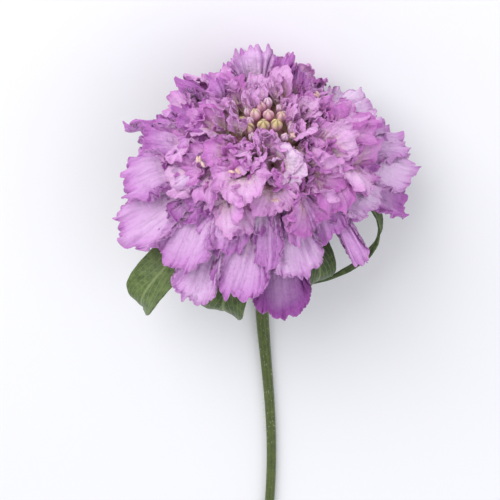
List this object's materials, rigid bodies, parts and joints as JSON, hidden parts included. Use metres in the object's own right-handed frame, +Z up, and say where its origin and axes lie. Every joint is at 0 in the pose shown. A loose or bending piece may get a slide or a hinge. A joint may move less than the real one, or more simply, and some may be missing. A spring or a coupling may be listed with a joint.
{
  "type": "pincushion flower",
  "caption": "Cut pincushion flower with a domed, ruffled mauve head, green bracts and a slender arched stem, lying on a surface with its face turned up.",
  "frame": {"origin": "centre of the foot of the box round the flower, on the surface it lies on", "axes": "+Y from the stem's cut end towards the bloom, +Z up from the surface, +X to the picture's right"},
  "size_m": [0.0771, 0.1843, 0.0485],
  "materials": {
    "petal_mauve": "matte",
    "bud_cream_green": "matte",
    "stem_green": "satin",
    "bract_green": "matte"
  },
  "bodies": {
    "root": {"stem": "stem_green", "bloom": "petal_mauve", "centre_buds": "bud_cream_green", "bract_01": "bract_green", "bract_02": "bract_green", "bract_03": "bract_green", "bract_04": "bract_green", "bract_05": "bract_green", "bract_06": "bract_green", "bract_07": "bract_green", "bract_08": "bract_green", "bract_09": "bract_green", "bract_10": "bract_green", "bract_11": "bract_green"}
  },
  "joints": []
}
